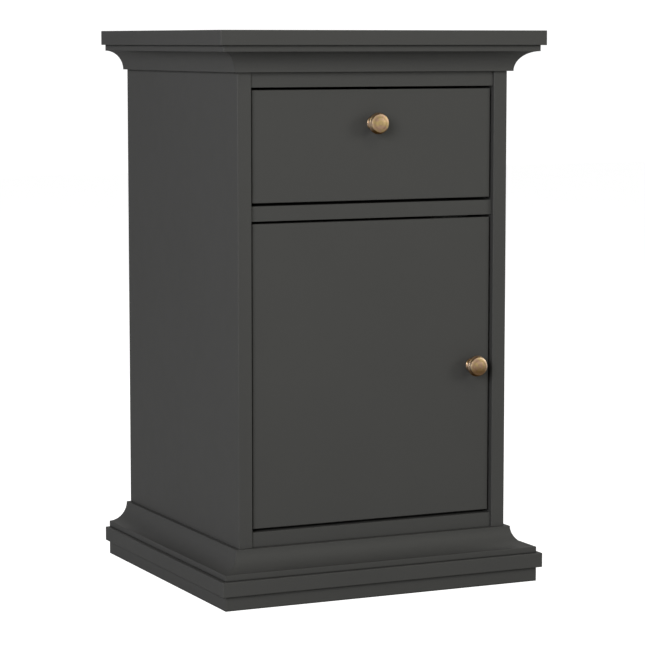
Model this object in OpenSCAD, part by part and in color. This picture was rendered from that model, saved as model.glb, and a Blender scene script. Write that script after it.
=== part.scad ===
// Bedside pot cupboard: one drawer over one door, between a moulded plinth and a moulded cornice.
// Millimetres. Z is up, the front looks along -Y, and the origin is on the floor, under the centre
// of the top. Each piece is a module of its own, and left and right pieces share one module.

/* [Carcass] */
// Width over the two side panels
carcass_w = 343; // [300:1:600]
// Depth of the side panels
carcass_d = 344; // [300:1:500]
// Height of the side panels
carcass_h = 539; // [440:1:800]
// Thickness of the main boards
board_t = 17; // [16:0.5:20]
// Thickness of the back sheet and the drawer bottom
sheet_t = 3; // [2.5:0.5:5]
// Distance from the rear edges to the back sheet
back_inset = 10; // [8:1:20]
// Depth of the grooves that hold the back sheet
groove_depth = 6; // [4:0.5:8]
// Play of a sheet across its groove
sheet_play = 0.4; // [0.2:0.1:0.8]
// Width of the sanded edges (arrises) of the boards that show
arris = 0.6; // [0.2:0.1:1.5]

/* [Plinth and cornice] */
// Radius of the hollow (cove) of the mouldings
cove_r = 23; // [14:0.5:32]
// Height of the flat fillet beside the hollow
fillet_h = 7; // [4:0.5:14]
// Flat lip between the hollow and the carcass
lip_w = 5.5; // [2:0.5:10]
// Width of the strips that the mouldings are cut from
strip_w = 60; // [50:1:80]
// Overhang of the top and the base board past the fillets
slab_overhang = 5.5; // [1:0.5:15]
// Height of the plinth
plinth_h = 17; // [12:1:60]

/* [Fronts] */
// Height of the drawer front
drawer_front_h = 127; // [115:1:180]
// Gap between a front and the carcass side
side_gap = 2.5; // [2.2:0.1:2.8]
// Gap over the drawer front and over the door
gap_top = 3; // [2:0.5:5]
// Gap under the drawer front and under the door
gap_bottom = 3.5; // [2:0.5:5]
// How far the fronts and the divider stand back from the side panels
front_recess = 5; // [3:0.5:10]
// How far the top and bottom panels stand back from the side panels
rail_recess = 2.5; // [0:0.5:3]

/* [Knobs] */
// Largest diameter of a knob
knob_d = 24.7; // [22.5:0.1:34]
// Diameter of a knob's domed face
knob_face_d = 21.2; // [16:0.1:21.6]
// Diameter of a knob's foot
knob_foot_d = 16.4; // [14:0.2:20]
// Diameter of a knob's neck
knob_neck_d = 12.4; // [10:0.2:13.4]
// How far the knob stands out
knob_proj = 19.6; // [18:0.2:30]
// Distance of the drawer knob below the drawer front's top edge
drawer_knob_drop = 38.7; // [25:0.1:60]
// Distance of the door knob from the door's free edge
door_knob_in = 22.2; // [18:0.1:60]
// Diameter of a knob's screw
knob_screw_d = 4; // [3:0.5:5]

/* [Drawer box] */
// Thickness of the drawer sides and back
box_t = 12; // [10:0.5:16]
// Height of the drawer sides
box_h = 95; // [60:1:98]
// Height of the drawer bottom over the lower edge of the sides
box_floor = 9; // [7:0.5:14]
// Depth of the grooves that hold the drawer bottom
box_groove = 5; // [3:0.5:6]
// Space left behind the drawer
box_rear_gap = 9; // [5:1:40]

/* [Runners] */
// Space for a runner between the drawer and the side panel
runner_gap = 12.5; // [12.5:0.1:14]
// Height of the drawer box over the divider
runner_lift = 12; // [6:0.5:20]
// Thickness of the runner steel
steel_t = 1.2; // [1:0.1:1.5]
// Diameter of the rollers
roller_d = 21; // [18:0.5:24]
// Width of the rollers
roller_w = 6; // [5:0.5:6.5]
// Diameter of the roller axles
axle_d = 6; // [4:0.5:8]
// How far the drawer pulls out
drawer_travel = 220; // [150:5:220]

/* [Hinges] */
// Diameter of the hinge cups
cup_d = 35; // [35:0.5:38]
// Depth of the hinge cups
cup_depth = 12.5; // [12.5:0.1:13.5]
// Depth of the hinge pin behind the door's front face
pivot_depth = 9.5; // [9.2:0.1:9.8]
// Diameter of the hinge pins
pin_d = 3.2; // [2.5:0.1:3.6]
// Width of the hinge arms
arm_w = 16; // [12:0.5:18]
// Distance of the hinges from the door's top and bottom edges
hinge_inset = 70; // [50:1:110]

/* [Shelf] */
// Height of the shelf over the carcass bottom
shelf_lift = 169; // [140:1:190]
// Setback of the shelf from the side panels' front edges
shelf_setback = 45; // [42:1:120]
// Diameter of the shelf pins
shelf_pin_d = 5; // [4:0.5:7]
// Distance between two heights of the shelf
shelf_step = 32; // [25:1:50]

/* [Fittings] */
// Diameter of the cam locks
cam_d = 15; // [12:0.5:16]
// Distance of the cam locks from the panel's end
cam_in = 24; // [20:0.5:34]
// Diameter of the wooden dowels
dowel_d = 8; // [6:0.5:9]
// Diameter of the long screws through the plinth and cornice strips
long_screw_d = 5; // [4:0.5:6]
// Diameter of the small chipboard screws
small_screw_d = 3.5; // [3:0.1:4]

/* [Hidden] */
$fn = 64;

lacquer = [0.28, 0.28, 0.275];
brass = [0.69, 0.54, 0.34];
steel = [0.68, 0.69, 0.70];
runner_paint = [0.86, 0.86, 0.83];
nylon = [0.93, 0.92, 0.88];
beech = [0.80, 0.66, 0.47];
black_plastic = [0.10, 0.10, 0.10];

// Clearances
play = 0.1;         // around screws, dowels, bolts and cams in their bores
axle_play = 0.05;   // around an axle or a hinge pin
roll_gap = 0.3;     // between a roller and the track it runs on
body_gap = 0.3;     // between flat faces of two moving groups
corner_gap = 0.35;  // between the door's turning corner and the side panel
seat_gap = 0.05;    // between a hinge arm and its plate
door_clear = 0.75;  // between a goose neck and the door's turning corner
tip_gap = 1;        // between a screw's tip and the end of its bore
cut = 1;            // how far a cutting shape runs past the face it opens

// Bores
small_bore = small_screw_d + 2 * play;
long_bore = long_screw_d + 2 * play;
knob_screw_bore = knob_screw_d + 2 * play;
dowel_bore = dowel_d + 2 * play;

// Heights, from the floor up
strip_h = fillet_h + cove_r;
base_z = plinth_h + board_t;
carcass_z0 = base_z + strip_h;
carcass_z1 = carcass_z0 + carcass_h;
slab_z = carcass_z1 + strip_h;
bottom_z1 = carcass_z0 + board_t;
top_z0 = carcass_z1 - board_t;
drawer_z1 = top_z0 - gap_top;
drawer_z0 = drawer_z1 - drawer_front_h;
divider_z1 = drawer_z0 - gap_bottom;
divider_z0 = divider_z1 - board_t;
door_z1 = divider_z0 - gap_top;
door_z0 = bottom_z1 + gap_bottom;

// Widths and depths; the rear edges are all flush
strip_out = cove_r + lip_w;
plinth_x = carcass_w / 2 + strip_out;
plinth_d = carcass_d + strip_out;
slab_x = plinth_x + slab_overhang;
slab_d = plinth_d + slab_overhang;
rear_y = slab_d / 2;
slab_y = -slab_d / 2;
strip_y = slab_y + slab_overhang;
front_y = rear_y - carcass_d;
outer_x = carcass_w / 2;
inner_x = outer_x - board_t;
back_y1 = rear_y - back_inset;
back_y0 = back_y1 - sheet_t;
groove_y0 = back_y0 - sheet_play / 2;
groove_y1 = back_y1 + sheet_play / 2;
sheet_in = groove_depth - sheet_play;
rail_y = front_y + rail_recess;
panel_x = inner_x - side_gap;
panel_y0 = front_y + front_recess;
panel_y1 = panel_y0 + board_t;

// Fittings of the three panels between the sides
fitting_in = 45;
rear_fitting_in = 65;
dowel_step = 32;
strip_screw_in = 125;
fitting_y = [front_y + fitting_in, rear_y - rear_fitting_in];
dowel_y = [fitting_y[0] + dowel_step, fitting_y[1] - dowel_step];
strip_screw_y = [front_y + strip_screw_in, rear_y - strip_screw_in];
cam_over = 4;
cam_h = board_t / 2 + cam_over;
bolt_d = 6;
bolt_head_d = 7;
bolt_in = 10;
dowel_in = 10;
dowel_out = 20;
screw_x = inner_x - (inner_x - (plinth_x - strip_w)) / 2;
screw_reach = 12;

// Shelf
shelf_z = bottom_z1 + shelf_lift;
shelf_y0 = front_y + shelf_setback;
shelf_gap = 1;
shelf_y1 = back_y0 - 2 * shelf_gap;
pin_edge = 37;
pin_z = shelf_z - shelf_pin_d / 2;
pin_y = [shelf_y0 + pin_edge, shelf_y1 - pin_edge];
pin_in = 8;
pin_out = 8;
pin_collar = 2;

// Drawer box and runners
box_x = inner_x - runner_gap;
box_y1 = back_y0 - box_rear_gap;
box_z0 = divider_z1 + runner_lift;
box_z1 = box_z0 + box_h;
floor_z = box_z0 + box_floor;
floor_groove_z = [floor_z - sheet_play / 2, floor_z + sheet_t + sheet_play / 2];
box_screw_l = 36;
roller_r = roller_d / 2;
track_z0 = box_z0 + 1.5;
roller_z = track_z0 + roll_gap + roller_r;
flange_z = roller_z + roller_r + roll_gap;
track_z1 = flange_z + 2 * steel_t;
track_x = box_x + steel_t + 1;
cab_gap = 2;
cab_y0 = panel_y1 + cab_gap;
cab_y1 = box_y1 + cab_gap;
roller_in = roller_r + 2.5;
front_roller_y = cab_y0 + roller_in;
rear_roller_y = box_y1 - roller_in;
washer = 0.6;
rivet_t = 1;
rivet_d = axle_d + 3;
lug_h = 3;
lug_reach = sqrt(pow(roller_r, 2) - pow(roller_r + roll_gap - lug_h, 2));
lug_y = rear_roller_y - drawer_travel - lug_reach - roll_gap;
runner_screw_in = 40;
runner_screw_y = [cab_y0 + runner_screw_in, (cab_y0 + cab_y1) / 2, cab_y1 - runner_screw_in];

// Hinges: the pin stands where the door's corner just clears the side panel as it turns
swing = side_gap - corner_gap;
pivot_in = (pow(pivot_depth, 2) - pow(swing, 2)) / (2 * swing);
pivot_x = -panel_x + pivot_in;
pivot_y = panel_y0 + pivot_depth;
pivot_back = board_t - pivot_depth;
turn_r = pivot_in + swing;
cup_r = cup_d / 2;
cup_shift = 1.5;
cup_x = pivot_x + cup_shift;
cup_wall = 0.8;
cup_flange = 1.2;
cup_screw_out = 6.5;
cup_screw_z = cup_r + cup_screw_out;
cup_wing = 14;
eye_r = pin_d / 2 + 2;
ear_t = 2.5;
ear_z = arm_w / 2 + body_gap;
neck_t = 2.4;
neck_r = turn_r + door_clear + neck_t / 2;
neck_angle = 40;
bend_r = 6;
plate_t = 3;
arm_x = -inner_x + plate_t + seat_gap + neck_t / 2;
arm_y = pivot_y + neck_r + bend_r;
arm_l = 50;
plate_in = 6;
plate_y0 = arm_y + plate_in;
plate_l = 40;
plate_y = plate_y0 + plate_l / 2;
plate_wing = 14;
plate_screw_z = 16;
clamp_screw_d = small_screw_d + 1.5;
hinge_z = [door_z0 + hinge_inset, door_z1 - hinge_inset];

// Magnetic catch under the divider, by the free edge of the door
catch_in = 42;
catch_x = panel_x - catch_in;
catch_w = 44;
catch_h = 13;
catch_d = 18;
catch_wall = 3;
catch_screw_x = catch_w / 2 - 5;
magnet_w = 20;
magnet_h = 8;
strike_t = 1.2;
strike_h = 10;
strike_w = 42;
strike_screw_x = strike_w / 2 - 4;
catch_y0 = panel_y1 + strike_t + body_gap;

// Knobs; the head keeps its height, and the neck takes up the rest of knob_proj
knob_r = knob_d / 2;
face_r = knob_face_d / 2;
foot_r = knob_foot_d / 2;
knob_neck_r = knob_neck_d / 2;
foot_h = 1.5;
foot_round = 0.5;
dome_h = 1.1;
quirk = 0.4;
ovolo_h = 3.1;
bead_h = 2.2;
under_round = 0.6;
drawer_knob_z = drawer_z1 - drawer_knob_drop;
door_knob_x = panel_x - door_knob_in;
door_knob_z = (door_z0 + door_z1) / 2;
knob_bore = 10;

// ---- Shared shapes ----

// A board between two corners
module board(x0, x1, y0, y1, z0, z1) {
  translate([x0, y0, z0]) cube([x1 - x0, y1 - y0, z1 - z0]);
}

// A rectangle with an arris at each corner, and a board with an arris along each edge
module eased_rect(w, h) {
  polygon([[arris, 0], [w - arris, 0], [w, arris], [w, h - arris],
    [w - arris, h], [arris, h], [0, h - arris], [0, arris]]);
}
module eased_board(x0, x1, y0, y1, z0, z1) {
  intersection() {
    translate([x0, y0, z0]) linear_extrude(z1 - z0) eased_rect(x1 - x0, y1 - y0);
    translate([x0, y1, z0]) rotate([90, 0, 0]) linear_extrude(y1 - y0) eased_rect(x1 - x0, z1 - z0);
    translate([x0, y0, z0]) rotate([90, 0, 90]) linear_extrude(x1 - x0) eased_rect(y1 - y0, z1 - z0);
  }
}

// Points of an oval arc about c, from angle a0 to a1 in n steps
function oval(c, rx, ry, a0, a1, n) =
  [for (i = [0 : n]) let (a = a0 + (a1 - a0) * i / n) c + [rx * cos(a), ry * sin(a)]];

// Round bars along X, Y and Z
module bar_x(x0, x1, y, z, d) {
  translate([min(x0, x1), y, z]) rotate([0, 90, 0]) cylinder(d = d, h = abs(x1 - x0));
}
module bar_y(y0, y1, x, z, d) {
  translate([x, max(y0, y1), z]) rotate([90, 0, 0]) cylinder(d = d, h = abs(y1 - y0));
}
module bar_z(z0, z1, x, y, d) {
  translate([x, y, min(z0, z1)]) cylinder(d = d, h = abs(z1 - z0));
}

// A countersunk screw along +Z, with its head's face at 0 and a cross in the head
module csk_screw(d, l) {
  head_h = d / 2;
  difference() {
    union() {
      cylinder(d1 = 2 * d, d2 = d, h = head_h);
      translate([0, 0, head_h]) cylinder(d = d, h = l - head_h - d / 2);
      translate([0, 0, l - d / 2]) cylinder(d1 = d, d2 = d / 4, h = d / 2);
    }
    cross_recess(d * 1.1, d / 4);
  }
}

// The bore that a countersunk screw fills
module csk_bore(d, l) {
  translate([0, 0, -1]) cylinder(d = 2 * d + 2 * play, h = 1 + play);
  translate([0, 0, play]) cylinder(d1 = 2 * d + 2 * play, d2 = d + 2 * play, h = d / 2);
  cylinder(d = d + 2 * play, h = l + play);
}

// A pan-head screw along +Z, with the underside of its head at 0
module pan_screw(d, head_d, head_h, l) {
  difference() {
    union() {
      translate([0, 0, -head_h]) cylinder(d1 = head_d * 0.8, d2 = head_d, h = head_h);
      cylinder(d = d, h = l);
    }
    translate([0, 0, -head_h]) cross_recess(head_d * 0.55, head_h * 0.6);
  }
}

// The cross that a screwdriver turns, cut upwards from 0
module cross_recess(l, h) {
  slot = l / 5;
  for (a = [0, 90]) rotate([0, 0, a]) translate([-l / 2, -slot / 2, -1]) cube([l, slot, h + 1]);
}

// ---- Mouldings, plinth and top ----

// Section of a moulding strip: a fillet, a hollow and a lip; the fillet's face is at 0
module strip_section() {
  difference() {
    square([strip_w, strip_h]);
    translate([0, strip_h]) circle(r = cove_r, $fn = 96);
  }
}

// Plans of the front strip and the left strip, mitred at the front corners
module front_plan() {
  polygon([[-plinth_x, strip_y], [plinth_x, strip_y],
    [plinth_x - strip_w, strip_y + strip_w], [-plinth_x + strip_w, strip_y + strip_w]]);
}
module left_plan() {
  polygon([[-plinth_x, strip_y], [-plinth_x + strip_w, strip_y + strip_w],
    [-plinth_x + strip_w, rear_y], [-plinth_x, rear_y]]);
}

// Strips with the hollow upwards, standing on Z = 0
module front_strip() {
  intersection() {
    translate([-plinth_x, strip_y, 0]) rotate([90, 0, 90]) linear_extrude(2 * plinth_x) strip_section();
    linear_extrude(strip_h) front_plan();
  }
}
module left_strip() {
  difference() {
    intersection() {
      translate([-plinth_x, rear_y, 0]) rotate([90, 0, 0]) linear_extrude(plinth_d) strip_section();
      linear_extrude(strip_h) left_plan();
    }
    for (y = strip_screw_y) bar_z(-cut, strip_h + cut, -screw_x, y, long_bore);
  }
}

// The base strips stand on the base board; the cornice strips hang upside down under the top
module base_place() {
  translate([0, 0, base_z]) children();
}
module cornice_place() {
  translate([0, 0, slab_z]) mirror([0, 0, 1]) children();
}

module base_moulding_front() { color(lacquer) base_place() front_strip(); }
module base_moulding_left() { color(lacquer) base_place() left_strip(); }
module base_moulding_right() { color(lacquer) base_place() mirror([1, 0, 0]) left_strip(); }
module cornice_front() { color(lacquer) cornice_place() front_strip(); }
module cornice_left() { color(lacquer) cornice_place() left_strip(); }
module cornice_right() { color(lacquer) cornice_place() mirror([1, 0, 0]) left_strip(); }

// Plain rails that close the two frames at the back
module back_rail(z) {
  x = plinth_x - strip_w;
  color(lacquer) board(-x, x, rear_y - board_t, rear_y, z, z + strip_h);
}
module base_back_rail() { back_rail(base_z); }
module cornice_back_rail() { back_rail(carcass_z1); }

module top_panel() {
  color(lacquer) eased_board(-slab_x, slab_x, slab_y, rear_y, slab_z, slab_z + board_t);
}

module base_board() {
  color(lacquer) difference() {
    eased_board(-slab_x, slab_x, slab_y, rear_y, plinth_h, base_z);
    for (s = [-1, 1], y = strip_screw_y)
      translate([s * screw_x, y, plinth_h]) csk_bore(long_screw_d, board_t + cut);
  }
}

// The plinth: four rails laid flat, with a hole under each long screw
module plinth_front() { color(lacquer) linear_extrude(plinth_h) front_plan(); }
module plinth_side() {
  color(lacquer) difference() {
    linear_extrude(plinth_h) left_plan();
    for (y = strip_screw_y) bar_z(-cut, plinth_h + cut, -screw_x, y, 2 * long_screw_d + 2);
  }
}
module plinth_left() { plinth_side(); }
module plinth_right() { mirror([1, 0, 0]) plinth_side(); }
module plinth_back() {
  x = plinth_x - strip_w;
  color(lacquer) board(-x, x, rear_y - strip_w, rear_y, 0, plinth_h);
}

// ---- Carcass ----

// Heights of the three panels between the sides
panel_z = [carcass_z0, divider_z0, top_z0];

// Plan of a side panel, with an arris at its front corners
module side_plan() {
  polygon([[inner_x, rear_y], [inner_x, front_y + arris], [inner_x + arris, front_y],
    [outer_x - arris, front_y], [outer_x, front_y + arris], [outer_x, rear_y]]);
}

// A side panel, drawn as the right one; the left one is drilled for the hinges
module side_panel(hinged) {
  x = inner_x - cut;
  difference() {
    translate([0, 0, carcass_z0]) linear_extrude(carcass_h) side_plan();
    board(x, inner_x + groove_depth, groove_y0, groove_y1, carcass_z0 - cut, carcass_z1 + cut);
    for (z = panel_z, y = fitting_y)
      bar_x(x, inner_x + bolt_in + play, y, z + board_t / 2, bolt_d + 2 * play);
    for (z = panel_z, y = dowel_y) bar_x(x, inner_x + dowel_in + play, y, z + board_t / 2, dowel_bore);
    for (y = pin_y, step = [-1, 0, 1])
      bar_x(x, inner_x + pin_in + play, y, pin_z + step * shelf_step, shelf_pin_d + 2 * play);
    for (y = runner_screw_y) bar_x(x, inner_x + screw_reach, y, roller_z, small_bore);
    if (hinged) for (z = hinge_z, dz = [-plate_screw_z, plate_screw_z])
      bar_x(x, inner_x + screw_reach, plate_y, z + dz, small_bore);
  }
}
module side_left() { color(lacquer) mirror([1, 0, 0]) side_panel(true); }
module side_right() { color(lacquer) side_panel(false); }

// A panel between the sides, with cam bores in its face, and bolt and dowel bores in its ends
module cross_panel(y0, y1, z, cams_up) {
  face_z = cams_up ? z + board_t - cam_h : z - cut;
  difference() {
    board(-inner_x, inner_x, y0, y1, z, z + board_t);
    for (s = [-1, 1], y = fitting_y) {
      bar_z(face_z, face_z + cam_h + cut, s * (inner_x - cam_in), y, cam_d + 2 * play);
      bar_x(s * (inner_x - cam_in), s * (inner_x + cut), y, z + board_t / 2, bolt_head_d + 2 * play);
    }
    for (s = [-1, 1], y = dowel_y)
      bar_x(s * (inner_x - dowel_out - play), s * (inner_x + cut), y, z + board_t / 2, dowel_bore);
  }
}
module carcass_top() {
  color(lacquer) difference() {
    cross_panel(rail_y, rear_y, top_z0, true);
    board(-inner_x - cut, inner_x + cut, groove_y0, groove_y1, top_z0 - cut, top_z0 + groove_depth);
    for (s = [-1, 1], y = strip_screw_y)
      translate([s * screw_x, y, top_z0]) csk_bore(long_screw_d, board_t + cut);
  }
}
module divider() {
  color(lacquer) difference() {
    cross_panel(panel_y0, back_y0, divider_z0, false);
    for (dx = [-catch_screw_x, catch_screw_x])
      bar_z(divider_z0 - cut, divider_z0 + screw_reach, catch_x + dx, catch_y0 + catch_d / 2, small_bore);
  }
}
module carcass_bottom() {
  color(lacquer) difference() {
    cross_panel(rail_y, rear_y, carcass_z0, false);
    board(-inner_x - cut, inner_x + cut, groove_y0, groove_y1, bottom_z1 - groove_depth, bottom_z1 + cut);
    for (s = [-1, 1], y = strip_screw_y)
      bar_z(carcass_z0 - cut, carcass_z0 + screw_reach, s * screw_x, y, long_bore);
  }
}
module back_panel() {
  x = inner_x + sheet_in;
  color(lacquer) board(-x, x, back_y0, back_y1, bottom_z1 - sheet_in, top_z0 + sheet_in);
}

module shelf() {
  x = inner_x - shelf_gap;
  color(lacquer) eased_board(-x, x, shelf_y0, shelf_y1, shelf_z, shelf_z + board_t);
}
module shelf_pins() {
  color(steel) for (s = [-1, 1], y = pin_y) {
    bar_x(s * (inner_x - pin_out), s * (inner_x + pin_in), y, pin_z, shelf_pin_d);
    bar_x(s * (inner_x - shelf_gap), s * inner_x, y, pin_z, shelf_pin_d + 2 * pin_collar);
  }
}

// ---- Connecting fittings ----

module cam_lock() {
  difference() {
    cylinder(d = cam_d, h = cam_h - play);
    cross_recess(cam_d * 0.6, 1.5);
    translate([-bolt_head_d * 0.7, -bolt_head_d / 2 - play, board_t / 2 - bolt_head_d / 2 - play])
      cube([cam_d, bolt_head_d + 2 * play, bolt_head_d + 2 * play]);
  }
}
module cam_at(s, y, z, up) {
  translate([s * (inner_x - cam_in), y, up ? z + board_t : z])
    mirror([s < 0 ? 1 : 0, 0, 0]) mirror([0, 0, up ? 1 : 0]) cam_lock();
}
module cam_locks() {
  color(steel) for (s = [-1, 1], y = fitting_y) {
    cam_at(s, y, top_z0, true);
    cam_at(s, y, divider_z0, false);
    cam_at(s, y, carcass_z0, false);
  }
}
module cam_bolts() {
  color(steel) for (s = [-1, 1], y = fitting_y, z = panel_z) {
    bar_x(s * (inner_x - cam_in), s * (inner_x + bolt_in), y, z + board_t / 2, bolt_d);
    bar_x(s * (inner_x - cam_in - 2), s * (inner_x - cam_in + 2), y, z + board_t / 2, bolt_head_d);
  }
}
module carcass_dowels() {
  color(beech) for (s = [-1, 1], y = dowel_y, z = panel_z)
    bar_x(s * (inner_x - dowel_out), s * (inner_x + dowel_in), y, z + board_t / 2, dowel_d);
}
module long_screws() {
  base_l = board_t + strip_h + screw_reach - tip_gap;
  cornice_l = board_t + strip_h - 4 * tip_gap;
  color(steel) for (s = [-1, 1], y = strip_screw_y) {
    translate([s * screw_x, y, plinth_h]) csk_screw(long_screw_d, base_l);
    translate([s * screw_x, y, top_z0]) csk_screw(long_screw_d, cornice_l);
  }
}

// ---- Drawer runners; drawn for the right-hand side ----

// Axle with a rivet head, from a web at x0 towards x1, that holds a roller
module axle(x0, x1, y) {
  dir = sign(x1 - x0);
  bar_x(x0, x1, y, roller_z, axle_d);
  bar_x(x1 - dir * rivet_t, x1, y, roller_z, rivet_d);
}
axle_l = 2 * washer + roller_w + rivet_t;

module cabinet_runner() {
  color(runner_paint) difference() {
    union() {
      board(inner_x - steel_t, inner_x, cab_y0, cab_y1, track_z0 - steel_t, track_z1 + steel_t);
      board(track_x, inner_x, cab_y0, cab_y1, track_z0 - steel_t, track_z0);
      board(track_x, inner_x, cab_y0 + 2 * roller_in, cab_y1, track_z1, track_z1 + steel_t);
      board(track_x + 1, inner_x - steel_t, lug_y - steel_t, lug_y, track_z0, track_z0 + lug_h);
      axle(inner_x - steel_t, inner_x - steel_t - axle_l, front_roller_y);
    }
    for (y = runner_screw_y) bar_x(inner_x - steel_t - cut, inner_x + cut, y, roller_z, small_bore);
  }
}
module cabinet_runner_left() { mirror([1, 0, 0]) cabinet_runner(); }
module cabinet_runner_right() { cabinet_runner(); }

module cabinet_runner_screws() {
  color(steel) for (s = [0, 1], y = runner_screw_y) mirror([s, 0, 0])
    translate([inner_x - steel_t, y, roller_z]) rotate([0, 90, 0])
      pan_screw(small_screw_d, 2 * small_screw_d, 1, steel_t + screw_reach - tip_gap);
}

module drawer_runner() {
  lip = box_t;
  color(runner_paint) difference() {
    union() {
      board(box_x, box_x + steel_t, panel_y1, box_y1, box_z0 - steel_t, flange_z + steel_t);
      board(box_x - lip, box_x + steel_t, panel_y1, box_y1, box_z0 - steel_t, box_z0);
      board(box_x, inner_x - steel_t - 2, panel_y1, box_y1, flange_z, flange_z + steel_t);
      axle(box_x + steel_t, box_x + steel_t + axle_l, rear_roller_y);
    }
    for (y = runner_screw_y)
      bar_z(box_z0 - steel_t - cut, box_z0 + cut, box_x - box_t / 2, y, small_bore);
  }
}
module drawer_runner_left() { mirror([1, 0, 0]) drawer_runner(); }
module drawer_runner_right() { drawer_runner(); }

// A roller with a hollowed face on each side, between x0 and x0 + roller_w
module roller(x0, y) {
  dish = 1;
  color(nylon) translate([x0, y, roller_z]) rotate([0, 90, 0]) difference() {
    cylinder(r = roller_r, h = roller_w);
    translate([0, 0, -1]) cylinder(d = axle_d + 2 * axle_play, h = roller_w + 2);
    for (z = [-1, roller_w - dish]) translate([0, 0, z]) difference() {
      cylinder(r = roller_r - 1.5, h = dish + 1);
      translate([0, 0, -1]) cylinder(d = axle_d + 3, h = dish + 3);
    }
  }
}
module cabinet_roller() { roller(inner_x - steel_t - washer - roller_w, front_roller_y); }
module drawer_roller() { roller(box_x + steel_t + washer, rear_roller_y); }
module cabinet_roller_left() { mirror([1, 0, 0]) cabinet_roller(); }
module cabinet_roller_right() { cabinet_roller(); }
module drawer_roller_left() { mirror([1, 0, 0]) drawer_roller(); }
module drawer_roller_right() { drawer_roller(); }

// ---- Drawer ----

drawer_dowel_up = 25;
drawer_dowel_down = 20;
drawer_dowel_z = [box_z0 + drawer_dowel_up, box_z1 - drawer_dowel_down];
drawer_dowel_d = 6;
drawer_dowel_bore = drawer_dowel_d + 2 * play;
drawer_dowel_in = 9;
drawer_dowel_out = 16;

module drawer_front() {
  color(lacquer) difference() {
    eased_board(-panel_x, panel_x, panel_y0, panel_y1, drawer_z0, drawer_z1);
    board(-box_x, box_x, panel_y1 - box_groove, panel_y1 + cut, floor_groove_z[0], floor_groove_z[1]);
    for (x = [box_t / 2 - box_x, box_x - box_t / 2], z = drawer_dowel_z)
      bar_y(panel_y1 - drawer_dowel_in - play, panel_y1 + cut, x, z, drawer_dowel_bore);
    bar_y(panel_y0 - cut, panel_y1 + cut, 0, drawer_knob_z, knob_screw_bore);
  }
}

// A drawer side, drawn as the right one
module drawer_side() {
  color(lacquer) difference() {
    board(box_x - box_t, box_x, panel_y1, box_y1, box_z0, box_z1);
    board(box_x - box_t - cut, box_x - box_t + box_groove, panel_y1 - cut, box_y1 + cut,
      floor_groove_z[0], floor_groove_z[1]);
    for (z = drawer_dowel_z)
      bar_y(panel_y1 - cut, panel_y1 + drawer_dowel_out + play, box_x - box_t / 2, z, drawer_dowel_bore);
    for (z = drawer_dowel_z) translate([box_x, box_y1 - box_t / 2, z]) rotate([0, -90, 0])
      csk_bore(small_screw_d, box_t + cut);
    for (y = runner_screw_y)
      bar_z(box_z0 - cut, box_z0 + box_floor - 1.5, box_x - box_t / 2, y, small_bore);
  }
}
module drawer_side_left() { mirror([1, 0, 0]) drawer_side(); }
module drawer_side_right() { drawer_side(); }

// The drawer back stands on the bottom sheet, which slides in under it
module drawer_back() {
  x = box_x - box_t;
  color(lacquer) difference() {
    board(-x, x, box_y1 - box_t, box_y1, floor_z + sheet_t, box_z1);
    for (s = [-1, 1], z = drawer_dowel_z)
      bar_x(s * (box_x - box_screw_l - tip_gap), s * (x + cut), box_y1 - box_t / 2, z, small_bore);
  }
}
module drawer_bottom() {
  x = box_x - box_t + box_groove - sheet_play;
  color(lacquer) board(-x, x, panel_y1 - box_groove + sheet_play, box_y1, floor_z, floor_z + sheet_t);
}
module drawer_dowels() {
  color(beech) for (x = [box_t / 2 - box_x, box_x - box_t / 2], z = drawer_dowel_z)
    bar_y(panel_y1 - drawer_dowel_in, panel_y1 + drawer_dowel_out, x, z, drawer_dowel_d);
}
module drawer_screws() {
  color(steel) for (s = [0, 1]) mirror([s, 0, 0]) {
    for (z = drawer_dowel_z) translate([box_x, box_y1 - box_t / 2, z]) rotate([0, -90, 0])
      csk_screw(small_screw_d, box_screw_l);
    for (y = runner_screw_y) translate([box_x - box_t / 2, y, box_z0 - steel_t])
      pan_screw(small_screw_d, 2 * small_screw_d, 1, steel_t + box_floor - 2);
  }
}

// ---- Knobs ----

// Half section of a turned knob, standing out along +Y of the sketch: a foot, a neck that flares
// to the head, then a bead, an ovolo and a low dome, each set off from the next by a small step
face_z = knob_proj - dome_h;
ovolo_z = face_z - quirk - ovolo_h;
bead_z = ovolo_z - bead_h;
under_r = knob_r - under_round;
under_z = bead_z - under_round;
flare_z = foot_h + 1.5;
step_r = (knob_r + face_r) / 2;

module knob_section() {
  polygon(concat(
    [[0, 0], [foot_r, 0]],
    oval([foot_r - foot_round, foot_h - foot_round], foot_round, foot_round, 0, 90, 4),
    [[knob_neck_r + foot_round, foot_h]],
    oval([under_r, flare_z], under_r - knob_neck_r, under_z - flare_z, 180, 90, 12),
    oval([under_r, bead_z], under_round, under_round, -60, 0, 4),
    oval([step_r, bead_z], knob_r - step_r, bead_h, 10, 80, 6),
    [[step_r, ovolo_z]],
    oval([face_r, ovolo_z], step_r - face_r, ovolo_h, 10, 80, 8),
    [[face_r, ovolo_z + ovolo_h - quirk / 2]],
    [for (i = [0 : 8]) [face_r * (1 - i / 8), face_z + dome_h * (1 - pow(1 - i / 8, 2))]]));
}

module knob(x, z) {
  color(brass) translate([x, panel_y0, z]) rotate([90, 0, 0]) difference() {
    rotate_extrude($fn = 96) knob_section();
    translate([0, 0, -cut]) cylinder(d = knob_screw_bore, h = knob_bore + cut);
  }
}
module knob_screw(x, z) {
  color(steel) translate([x, panel_y1, z]) rotate([90, 0, 0])
    pan_screw(knob_screw_d, 2 * knob_screw_d, 2.4, board_t + knob_bore - tip_gap);
}
module drawer_knob() { knob(0, drawer_knob_z); }
module drawer_knob_screw() { knob_screw(0, drawer_knob_z); }
module door_knob() { knob(door_knob_x, door_knob_z); }
module door_knob_screw() { knob_screw(door_knob_x, door_knob_z); }

// ---- Door and hinges ----

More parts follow.
